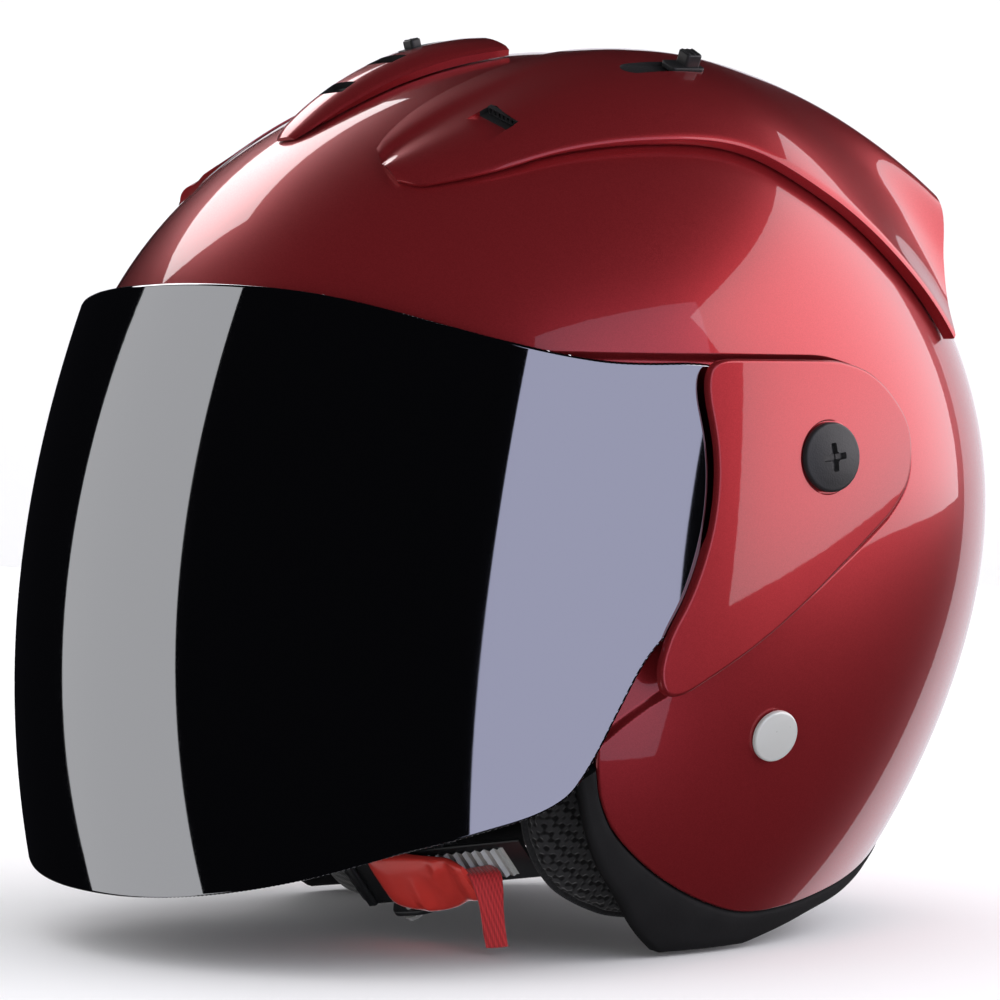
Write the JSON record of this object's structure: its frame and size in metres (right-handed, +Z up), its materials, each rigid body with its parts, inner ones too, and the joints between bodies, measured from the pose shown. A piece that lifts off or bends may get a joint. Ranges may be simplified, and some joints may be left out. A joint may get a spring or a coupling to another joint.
{
  "type": "motorcycle helmet",
  "caption": "Open-face motorcycle helmet with a long mirrored visor on side pivots, raised sliding vents, padded liner and a chin strap with a quick-release lever buckle.",
  "frame": {"origin": "on the ground under the middle of the helmet's box, at the level of the two flats that it stands on", "axes": "+Z up, the face looks along -Y, +X to the wearer's left"},
  "size_m": [0.2572, 0.2812, 0.2548],
  "materials": {
    "red_paint": "deep candy-red metallic lacquer with a glossy clear coat",
    "mirrored_visor": "dark mirrored polycarbonate",
    "trim_rubber": "matte black edge binding",
    "shock_foam": "expanded polystyrene shock liner, painted black",
    "liner_cloth": "black brushed cloth and mesh over foam",
    "webbing": "black woven polyester webbing",
    "bright_steel": "polished steel",
    "plain_steel": "zinc-plated steel",
    "dark_steel": "black-coated pressed steel",
    "red_plastic": "moulded red plastic",
    "red_ribbon": "woven red ribbon",
    "black_plastic": "satin black moulded plastic"
  },
  "bodies": {
    "helmet": {"outer_shell": "red_paint", "face_trim": "trim_rubber", "neck_trim": "trim_rubber", "eps_liner": "shock_foam", "crown_liner": "liner_cloth", "neck_roll": "liner_cloth", "side_plate_left": "red_paint", "side_plate_right": "red_paint", "pivot_screw_left": "black_plastic", "pivot_screw_right": "black_plastic", "pivot_bush_left": "black_plastic", "pivot_bush_right": "black_plastic", "pivot_nut_left": "plain_steel", "pivot_nut_right": "plain_steel", "wing_left": "red_paint", "wing_right": "red_paint", "scoop_grille_left": "black_plastic", "scoop_grille_right": "black_plastic", "centre_vent_cover": "red_paint", "rear_spoiler": "red_paint", "exhaust_grille": "black_plastic", "strap_webbing_left": "webbing", "strap_webbing_right": "webbing", "chin_pad": "liner_cloth", "strap_rivet_left": "bright_steel", "strap_rivet_right": "bright_steel", "strap_anchor_left": "plain_steel", "strap_anchor_right": "plain_steel", "buckle_frame": "dark_steel", "buckle_pin": "bright_steel", "lever_spring": "bright_steel", "ratchet_strip": "dark_steel", "cheek_pad_left": "liner_cloth", "cheek_pad_right": "liner_cloth"},
    "visor": {"visor": "mirrored_visor"},
    "centre_slider": {"centre_vent_slider": "black_plastic"},
    "left_slider": {"wing_slider_left": "black_plastic"},
    "right_slider": {"wing_slider_right": "black_plastic"},
    "release_lever": {"buckle_lever": "red_plastic", "pull_ribbon": "red_ribbon"}
  },
  "joints": [
    {"name": "visor_hinge", "type": "hinge", "parent": "helmet", "child": "visor", "pos_m": [0, 0.01787, 0.135], "axis": [-1, 0, 0], "range_deg": [0, 50]},
    {"name": "centre_vent_slide", "type": "slide", "parent": "helmet", "child": "centre_slider", "axis": [0, 0.9624, 0.2715], "range_m": [0, 0.009]},
    {"name": "wing_slide_left", "type": "slide", "parent": "helmet", "child": "left_slider", "axis": [0, -0.9992, -0.0391], "range_m": [0, 0.013]},
    {"name": "wing_slide_right", "type": "slide", "parent": "helmet", "child": "right_slider", "axis": [0, -0.9992, -0.0391], "range_m": [0, 0.013]},
    {"name": "lever_hinge", "type": "hinge", "parent": "helmet", "child": "release_lever", "pos_m": [0.01853, -0.04966, 0.0174], "axis": [0, 0.6, -0.8], "range_deg": [0, 25], "stiffness_Nm_per_rad": 0.05, "springref_deg": -17.19}
  ]
}
